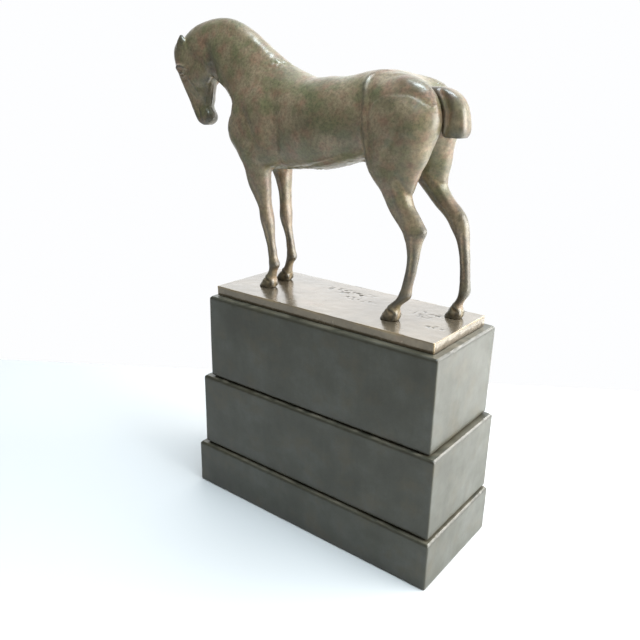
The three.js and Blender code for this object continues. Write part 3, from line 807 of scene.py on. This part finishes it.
def horse_bronze():
    """Olive-brown patina, blotched red and green, darker in the hollows, with painted shade in spots,
    rubbed on the edges.
    """
    paint = Paint("horse_bronze")
    clouds = paint.noise(24, 3.0)
    blotches = paint.noise(9, 5.0, 0.6)
    browns = [(0.38, (0.15, 0.12, 0.064)), (0.5, (0.205, 0.165, 0.092)), (0.62, (0.26, 0.2, 0.12))]
    ground = paint.ramp(clouds, browns)
    reds = paint.ramp(blotches, [(0.46, 0.0), (0.64, 0.7)])
    ground = paint.mix(reds, ground, (0.22, 0.115, 0.068))
    greens = paint.ramp(paint.noise(13, 5.0, 0.6, (1, 1, 1.3)), [(0.46, 0.0), (0.64, 0.7)])
    ground = paint.mix(greens, ground, (0.11, 0.12, 0.048))
    patchy = paint.ramp(paint.noise(3, 4.0), [(0.3, 0.35), (0.65, 1.0)])
    rubbed = paint.math("MULTIPLY", paint.mark("wear_and_highlight"), patchy)
    ground = paint.mix(rubbed, ground, (0.42, 0.29, 0.17))
    # dark patina in the hollows, and painted shade in the spots where shade falls
    ground = paint.mix(paint.math("MULTIPLY", paint.mark("grime_and_shade"), 0.8), ground, (0.05, 0.046, 0.032))
    specks = paint.ramp(paint.noise(1.7, 3.0, 0.7), [(0.34, 0.45), (0.6, 1.0)])
    paint.set(Base_Color=paint.mix(0.75, ground, specks, "MULTIPLY"))
    paint.set(Roughness=paint.ramp(blotches, [(0.3, 0.4), (0.75, 0.52)]), Metallic=0.12)
    paint.set(Coat_Weight=0.5, Coat_Roughness=0.27)
    paint.bump([(paint.noise(4, 3.0), 0.1), (paint.noise(1.1, 2.0), 0.05)])
    return paint.material


def plate_bronze():
    """Brown bronze, smoother and glossier than the horse, rubbed golden along the edges."""
    paint = Paint("plate_bronze")
    clouds = paint.noise(34, 4.0)
    browns = [(0.35, (0.16, 0.13, 0.09)), (0.6, (0.22, 0.175, 0.12)), (0.75, (0.27, 0.19, 0.13))]
    ground = paint.ramp(clouds, browns)
    ground = paint.mix(paint.mark("grime_and_shade"), ground, (0.09, 0.08, 0.06))
    ground = paint.mix(paint.mark("wear_and_highlight"), ground, (0.4, 0.3, 0.17))
    specks = paint.ramp(paint.noise(2.2, 4.0, 0.7), [(0.32, 0.6), (0.55, 1.0)])
    paint.set(Base_Color=paint.mix(0.4, ground, specks, "MULTIPLY"))
    paint.set(Roughness=paint.ramp(paint.noise(9, 5.0), [(0.3, 0.18), (0.75, 0.3)]), Metallic=0.55)
    paint.set(Coat_Weight=0.6, Coat_Roughness=0.14)
    paint.bump([(paint.noise(12, 3.0), 0.1), (paint.noise(1.1, 2.0), 0.015)])
    return paint.material


def base_stone():
    """Dark olive-grey stone, honed, with faint clouds and upright saw marks, painted shade on the chamfers
    and a painted highlight along the top edges.
    """
    paint = Paint("base_stone")
    clouds = paint.noise(30, 6.0, 0.6)
    greys = [
        (0.34, (0.036, 0.035, 0.022)),
        (0.5, (0.048, 0.048, 0.033)),
        (0.66, (0.066, 0.068, 0.054)),
    ]
    ground = paint.ramp(clouds, greys)
    rusts = paint.ramp(paint.noise(16, 5.0, 0.6), [(0.5, 0.0), (0.68, 0.6)])
    ground = paint.mix(rusts, ground, (0.062, 0.052, 0.028))
    grains = paint.ramp(paint.noise(1.3, 2.0), [(0.3, 0.82), (0.7, 1.0)])
    ground = paint.mix(0.6, ground, grains, "MULTIPLY")
    saw = paint.ramp(paint.noise(3.5, 3.0, 0.5, (1, 1, 0.06)), [(0.4, 0.9), (0.6, 1.0)])
    ground = paint.mix(0.5, ground, saw, "MULTIPLY")
    # darker along the foot, and painted shade on the chamfer below the top edge
    ground = paint.mix(paint.mark("grime_and_shade"), ground, (0.03, 0.027, 0.018))
    # lighter worn edge, with a painted highlight along the top edge
    ground = paint.mix(paint.mark("wear_and_highlight"), ground, (0.14, 0.125, 0.09))
    polish = paint.ramp(paint.noise(12, 5.0), [(0.3, 0.28), (0.7, 0.42)])
    paint.set(Base_Color=ground, Roughness=polish, IOR=1.5)
    paint.bump([(paint.noise(3, 4.0), 0.03), (paint.noise(3.5, 3.0, 0.5, (1, 1, 0.1)), 0.02)])
    return paint.material


def setting_bed():
    """Dark, rough setting compound."""
    paint = Paint("setting_bed")
    ground = paint.ramp(paint.noise(3, 4.0), [(0.3, (0.012, 0.011, 0.01)), (0.7, (0.03, 0.028, 0.024))])
    paint.set(Base_Color=ground, Roughness=0.85)
    paint.bump([(paint.noise(0.8, 3.0), 0.15)])
    return paint.material


def fixing_steel():
    """Plain grey steel, duller in patches."""
    paint = Paint("fixing_steel")
    ground = paint.ramp(paint.noise(2.5, 4.0), [(0.3, (0.36, 0.36, 0.35)), (0.7, (0.55, 0.55, 0.53))])
    polish = paint.ramp(paint.noise(1.2, 3.0), [(0.3, 0.28), (0.7, 0.45)])
    paint.set(Base_Color=ground, Metallic=1.0, Roughness=polish)
    paint.bump([(paint.noise(0.6, 2.0), 0.02)])
    return paint.material


# ---- pieces ----
def add_piece(name, mesh, material, slot, *nodes):
    mesh.materials.append(material)
    piece = bpy.data.objects.new(name, mesh)
    bpy.context.scene.collection.objects.link(piece)
    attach(piece, ROOT)
    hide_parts(*nodes)
    return piece


SHAPES = horse_shapes()
BRUSHES = body_brushes() + head_brushes() + leg_brushes()
TRUNK_GRAIN, LIMB_GRAIN, TAIL_GRAIN, PLATE_GRAIN = (0.65, 1.0), (0.42, 0.8), (0.45, 0.8), (0.6, 1.2)
ROUGH_SPOTS = [  # where the modeller left the surface rough: centre, radii, depth
    ((-53, 0, 150), (9, 12, 8), 0.35),
    ((-30, 0, 84), (34, 15, 5), 0.5),
    ((8, 0, 92), (14, 12, 6), 0.35),
    ((-61, -11, 2), (9, 8, 5), 0.4),
    ((-64, 11, 2), (9, 8, 5), 0.4),
    ((45, -15, 2), (9, 8, 5), 0.4),
    ((73, 15, 2), (9, 8, 5), 0.4),
]
PAINTED_SHADE_SPOTS = [  # painted shade, darkening spots where shade falls on the horse: centre, radii, share
    ((-114, -9, 146), (4.5, 6, 13), 0.85),
    ((-114, 9, 146), (4.5, 6, 13), 0.85),
    ((-122, 0, 124), (4.2, 9, 12), 1.2),
    ((-120, 0, 112), (3, 8, 5), 0.9),
    ((-113, 0, 137), (8, 9, 4.5), 1.0),
    ((66, 0, 118), (3.5, 10, 14), 0.6),
    ((52, 0, 104), (14, 5, 22), 0.6),
    ((0, 0, 86), (16, 5, 5), 0.5),
    ((-18, 0, 116), (24, 40, 11), 0.36),
    ((40, 0, 116), (10, 40, 14), 0.42),
    ((80, 0, 118), (4, 12, 12), 0.5),
]


def nearness(points, centre, radii):
    """1 at a spot's centre, fading out over its radii."""
    return np.exp(-((((points - centre) / radii) ** 2).sum(1)))


def hand_worked(mesh):
    """Gives a casting its modelled surface, and marks its rubbed edges, its dark hollows and its painted
    shade.
    """
    height = relief(mesh, 2.2)
    points = positions(mesh)
    surface = 0.15 * ripple(points, 6.5, 1) + 0.08 * ripple(points, 2.6, 2)
    for centre, radii, depth in ROUGH_SPOTS:
        surface += depth * nearness(points, centre, radii) * ripple(points, 1.7, 3)
    lift(mesh, surface)
    # dark patina in the hollows, and painted shade over the spots where shade falls
    grime_and_shade = np.clip((-height - 0.08) / 0.4, 0, 1)
    for centre, radii, share in PAINTED_SHADE_SPOTS:
        grime_and_shade = np.maximum(grime_and_shade, share * nearness(points, centre, radii))
    handled = 0.32 * np.clip((80 - points[:, 2]) / 25, 0, 1)  # the legs are rubbed redder than the body
    mark(mesh, "wear_and_highlight", np.maximum((height - 0.16) / 0.5, handled))
    mark(mesh, "grime_and_shade", grime_and_shade)


def cast(name, low, high, step, cuts, bronze, node):
    """One casting of the horse: sculpted in a box of its own and cut where it meets its neighbours."""
    axes = [np.arange(a, b, step) for a, b in zip(low, high)]
    field = np.maximum(clay(SHAPES, BRUSHES, axes), -axes[2][None, None, :])
    mesh = to_mesh(name, *skin(field, axes))
    hand_worked(mesh)
    for cut in cuts:
        trim(mesh, *cut)
    mesh.transform(Matrix.Translation(Vector(HORSE_AT) * MM))
    return add_piece(name, mesh, bronze, "horse_bronze", node)


def horse(bronze):
    at, facing = NECK_JOINT
    away = tuple(-value for value in facing)
    fore, hind = (0, 0, FORE_JOINT), (0, 0, HIND_JOINT)
    up, down = (0, 0, 1), (0, 0, -1)
    body_cuts = [(at, facing), (fore, down), (hind, down, lambda x, y, z: x > HIND_JOINT_FROM)]
    low, high = (-108, -32, 68), (78, 32, 170)
    cast("torso", low, high, grain(*TRUNK_GRAIN), body_cuts, bronze, "torso_casting")
    low, high = (-163, -24, 100), (-52, 24, 184)
    neck_cut = [(at, away)]
    cast("head_and_neck", low, high, grain(*LIMB_GRAIN), neck_cut, bronze, "head_and_neck_casting")
    legs = [("fore", (-92, -48), fore), ("hind", (24, 92), hind)]
    for place, (front, rear), joint in legs:
        for name, near, far in (("left", -32, -2), ("right", 2, 32)):
            low, high = (front, near, -1.2), (rear, far, joint[2] + 6)
            leg = f"{name}_{place}_leg"
            cast(leg + "_chased", low, high, grain(*LIMB_GRAIN), [(joint, up)], bronze, leg)


def tail(bronze):
    """The bobbed tail: a loft of hair, cut to lie close on the body."""
    step = grain(*TAIL_GRAIN)
    axes = [np.arange(48, 84, step), np.arange(-9, 9, step), np.arange(106, 144, step)]
    body = clay(SHAPES, BRUSHES, axes)
    hair = clay([Loft(TAIL, blend=1, squareness=3.2)], tail_brushes(), axes)
    mesh = to_mesh("tail", *skin(np.maximum(hair, -1.5 - body), axes))
    hand_worked(mesh)
    mesh.transform(Matrix.Translation(Vector(HORSE_AT) * MM))
    return add_piece("tail", mesh, bronze, "horse_bronze", "tail_casting")


# ---- the base and its plate ----
def ring(length, width, inset, step):
    """Points round a rectangle with eased corners, anticlockwise, as many at every inset."""
    ease = 0.8
    a, b = length / 2 - inset - ease, width / 2 - inset - ease
    corners = [(a, b, length), (-a, b, width), (-a, -b, length), (a, -b, width)]
    arcs = []
    for quarter, (x, y, _) in enumerate(corners):
        angle = np.radians(90 * quarter + np.linspace(0, 90, 4))
        arcs.append(np.stack([x + ease * np.cos(angle), y + ease * np.sin(angle)], 1))
    points = []
    for (_, _, run), arc, following in zip(corners, arcs, arcs[1:] + arcs[:1]):
        share = np.linspace(0, 1, round(run / step) + 1)[1:-1, None]
        points += [arc, arc[-1] * (1 - share) + following[0] * share]
    return np.concatenate(points)


def join_rings(shape, rings):
    """Lays quads between each ring of points and the next one up."""
    for under, over in zip(rings, rings[1:]):
        for i in range(len(under)):
            j = (i + 1) % len(under)
            shape.faces.new((under[i], under[j], over[j], over[i]))


def add_rows(shape, rows):
    """Adds rings of points from the lowest up, joined by quads, and returns the rings."""
    rings = [[shape.verts.new(point * MM) for point in row] for row in rows]
    join_rings(shape, rings)
    return rings


def circle(x, y, z, radius, sides=40):
    angle = np.linspace(0, 2 * np.pi, sides, endpoint=False)
    return np.stack([x + radius * np.cos(angle), y + radius * np.sin(angle), np.full(sides, z)], 1)


def edges_round(points):
    following = points[1:] + points[:1]
    pairs = zip(points, following)
    return [edge for a, b in pairs for edge in a.link_edges if edge.other_vert(a) is b]


def fill(shape, *rings):
    """Closes the flat space between an outer ring and the rings of any bores in it."""
    rims = [edge for points in rings for edge in edges_round(points)]
    bmesh.ops.triangle_fill(shape, use_beauty=True, use_dissolve=False, edges=rims)
    for edge in rims:
        edge.smooth = False


def finish_shape(shape, name):
    bmesh.ops.recalc_face_normals(shape, faces=shape.faces)
    mesh = bpy.data.meshes.new(name)
    shape.to_mesh(mesh)
    shape.free()
    for polygon in mesh.polygons:
        polygon.use_smooth = True
    return mesh


def upright_box(node):
    """A node's middle (x, y), its length and width, and its lowest and highest z, in millimetres."""
    low, high = (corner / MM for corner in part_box(node))
    return (low.x + high.x) / 2, (low.y + high.y) / 2, high.x - low.x, high.y - low.y, low.z, high.z


STUDS = ["front_stud", "rear_stud"]
CLEAR = 0.3  # play round a stud
RECESS_RADIUS = 10.0  # the sunk hole that each nut sits in
BLOCK_STEP = 1.2  # distance between the points round a block
ARRIS_BAND, FOOT_BAND = 2.4, 1.6  # how far from a block's top and from its foot the chips reach
FOOT = [(0.0, 0.8), (0.5, 0.2)]  # a block's eased foot: above the floor, in from the face
ARRIS = [(2.4, 0.0), (1.35, 0.08), (0.85, 0.4), (0.4, 0.85), (0.0, 1.2)]  # below the top, in from the face


def stone_levels(height):
    """The rings up a block's sides: height, and how far in from the face."""
    sides = np.linspace(1.2, height - 4, round(height / 2.4))
    return FOOT + [(z, 0.0) for z in sides] + [(height - down, inset) for down, inset in ARRIS]


def worn_ring(flat, z, block, seed):
    """A ring of a block's points at a height z over its foot, bitten by chips near the edges."""
    x, y, length, width, floor, ceiling = block
    height = ceiling - floor
    points = np.column_stack([flat + (x, y), np.full(len(flat), floor + z)])
    inward = -np.sign(flat) * (np.abs(flat) > np.array([length, width]) / 2 - 3.5)
    near_top = math.exp(-(((height - z) / ARRIS_BAND) ** 2))
    near_foot = math.exp(-((z / FOOT_BAND) ** 2))
    chips = np.clip(ripple(points, 6.0, seed) - 0.5, 0, 1) * 1.5 + 0.16 * ripple(points, 1.9, seed + 1)
    bite = near_top * np.clip(chips, -0.2, 2) + near_foot * 0.4 * np.clip(chips, 0, 1)
    bite += 0.09 + 0.08 * ripple(points, 30.0, seed + 2)
    points[:, :2] += inward * np.clip(bite, 0, 3)[:, None]
    points[:, 2] -= near_top * np.clip(chips, 0, 2) * 0.5
    return points


def stud_bore(stud, floor, ceiling):
    """The profile of a stud's bore through a block, from below, with a recess where the stud ends."""
    _, _, diameter, _, stud_foot, _ = upright_box(stud)
    radius = diameter / 2 + CLEAR
    if stud_foot <= floor:
        return [(floor, radius), (ceiling, radius)]
    recess_top = upright_box(stud.replace("stud", "washer"))[5] + CLEAR
    return [(floor, RECESS_RADIUS), (recess_top, RECESS_RADIUS), (recess_top, radius), (ceiling, radius)]


def stone_block(node, stone, seed):
    """A squared block with a weathered, chipped top edge, bored for the studs, with a painted highlight
    along its top edge and painted shade on the chamfer below it.
    """
    block = upright_box(node)
    x, y, length, width, floor, ceiling = block
    shape = bmesh.new()
    outer = add_rows(shape, [
        worn_ring(ring(length, width, inset, BLOCK_STEP), z, block, seed)
        for z, inset in stone_levels(ceiling - floor)
    ])
    bores = []
    for stud in STUDS:
        stud_x, stud_y, *_ = upright_box(stud)
        profile = stud_bore(stud, floor, ceiling)
        bores.append(add_rows(shape, [circle(stud_x, stud_y, z, r) for z, r in profile]))
    fill(shape, outer[0], *[bore[0] for bore in bores])
    fill(shape, outer[-1], *[bore[-1] for bore in bores])
    mesh = finish_shape(shape, node)
    points = positions(mesh)
    below_top = ceiling - points[:, 2]
    outside = (np.abs(points[:, :2] - (x, y)) > np.array([length, width]) / 2 - 4).any(1)
    # a painted highlight along the top edge, mixed with wear
    lip_wear_and_highlight = np.exp(-((below_top / 0.35) ** 2)) * outside
    mark(mesh, "wear_and_highlight", lip_wear_and_highlight * (0.35 + 0.6 * ripple(points, 5.0, seed + 3)))
    # darker along the foot, and painted shade on the chamfer below the top edge
    foot = np.exp(-(((points[:, 2] - floor) / 0.9) ** 2))
    chamfer_shade = np.exp(-(((below_top - 1.2) / 0.9) ** 2)) * outside
    mark(mesh, "grime_and_shade", 0.8 * foot + chamfer_shade * (0.75 + 0.5 * ripple(points, 2.6, seed + 4)))
    return add_piece(f"{node}_weathered", mesh, stone, "base_stone", node)


PLATE_MARKS = [  # tooled and pitted patches: centre, radii
    ((-6, 17), (22, 5)),
    ((6, 7), (13, 3)),
    ((60, 9), (12, 6)),
    ((74, -8), (6, 5)),
    ((68, 34), (6, 5)),
]
PLATE_EASE = 0.35  # how far the plate's top stops short of its sides
PLATE_SIDES = [  # below the top, in from the face
    (0.12, 0.1),
    (0.45, 0.0),
    (1.8, 0.0),
    (3.4, 0.0),
    (5.0, 0.0),
    (6.3, 0.0),
    (6.75, 0.2),
]


def plate_top(flat, x, y, length, width, ceiling):
    """The points of the plate's uneven top over a flat grid, and how deep each one is pitted."""
    top = np.column_stack([flat + (x, y), np.full(len(flat), ceiling)])
    patch = np.zeros(len(top))
    for centre, radii in PLATE_MARKS:
        patch = np.maximum(patch, np.exp(-((((flat - centre) / radii) ** 2).sum(1)) ** 2))
    pits = patch * np.clip(ripple(top, 2.4, 21) + ripple(top, 1.2, 27) - 0.15, 0, 1)
    swell = np.minimum(np.minimum(length / 2 - abs(flat[:, 0]), width / 2 - abs(flat[:, 1])) / 4, 1)
    top[:, 2] += 0.09 * ripple(top, 17.0, 22) * swell + 0.04 * ripple(top, 4.5, 23) - 0.12 - 0.6 * pits
    return top, pits


def plate_piece(plate):
    """The plate: cast uneven, with tooled and pitted patches, and blind holes below for the studs."""
    x, y, length, width, floor, ceiling = upright_box("bronze_plate")
    step, half = grain(*PLATE_GRAIN), np.array([length, width]) / 2
    across, along = round(length / step), round(width / step)
    xs, ys = [np.linspace(-1, 1, n + 1) * reach for n, reach in zip((across, along), half - PLATE_EASE)]
    flat = np.stack(np.meshgrid(xs, ys, indexing="ij"), -1).reshape(-1, 2)
    top, pits = plate_top(flat, x, y, length, width, ceiling)
    index = np.arange(len(top)).reshape(across + 1, along + 1)
    loop = np.concatenate([index[:, 0], index[-1, 1:], index[-2::-1, -1], index[0, -2:0:-1]])
    shape = bmesh.new()
    points = [shape.verts.new(point * MM) for point in top]
    for i in range(across):
        for j in range(along):
            corners = index[i, j], index[i + 1, j], index[i + 1, j + 1], index[i, j + 1]
            shape.faces.new([points[k] for k in corners])
    rims = [[points[k] for k in loop]]
    edge = flat[loop]
    inward = -np.sign(edge) * (np.abs(edge) > half - 2 * PLATE_EASE)
    for down, inset in PLATE_SIDES:
        stretch = (half - inset) / (half - PLATE_EASE)
        row = np.column_stack([edge * stretch + (x, y), np.full(len(edge), ceiling - down)])
        uneven = 0.16 + 0.16 * ripple(row, 9.0, 24) + 0.1 * ripple(row, 2.5, 25)
        row[:, :2] += inward * uneven[:, None]
        rims.append([shape.verts.new(point * MM) for point in row])
    rims.append([shape.verts.new((v.co.x, v.co.y, floor * MM)) for v in rims[-1]])
    join_rings(shape, rims[::-1])
    bores = []
    for stud in STUDS:
        stud_x, stud_y, diameter, _, _, stud_top = upright_box(stud)
        radius = diameter / 2 + CLEAR
        bore = add_rows(shape, [circle(stud_x, stud_y, z, radius) for z in (floor, stud_top + CLEAR)])
        shape.faces.new(bore[-1])
        bores.append(bore[0])
    fill(shape, rims[-1], *bores)
    mesh = finish_shape(shape, "plate")
    points = positions(mesh)
    inside = half - abs(points[:, :2] - (x, y))
    upright = (inside < 1).all(1)
    rim = np.exp(-(((ceiling - 0.3 - points[:, 2]) / 0.5) ** 2)) * (inside.min(1) < 0.8)
    mark(mesh, "wear_and_highlight", rim * (0.35 + 0.8 * ripple(points, 12.0, 26)) + upright * 0.8)
    mark(mesh, "grime_and_shade", 2.0 * np.concatenate([pits, np.zeros(len(points) - len(pits))]))
    return add_piece("plate_cast", mesh, plate, "plate_bronze", "bronze_plate")


camera()
white_room()
lamps()
pale_floor()
bpy.context.scene.view_settings.view_transform = "Standard"

bronze, plate, stone = horse_bronze(), plate_bronze(), base_stone()
bed, steel = setting_bed(), fixing_steel()
horse(bronze)
tail(bronze)
for seed, node in enumerate(("base_block_bottom", "base_block_middle", "base_block_top")):
    stone_block(node, stone, 40 + 10 * seed)
plate_piece(plate)
finishes = {
    "horse_bronze": bronze,
    "plate_bronze": plate,
    "base_stone": stone,
    "setting_bed": bed,
    "fixing_steel": steel,
}
for part in frame["record"]["subparts"]:
    node = frame["nodes"][part["node"]]
    for place in node.material_slots:
        place.material = finishes[part["material_slot"]]
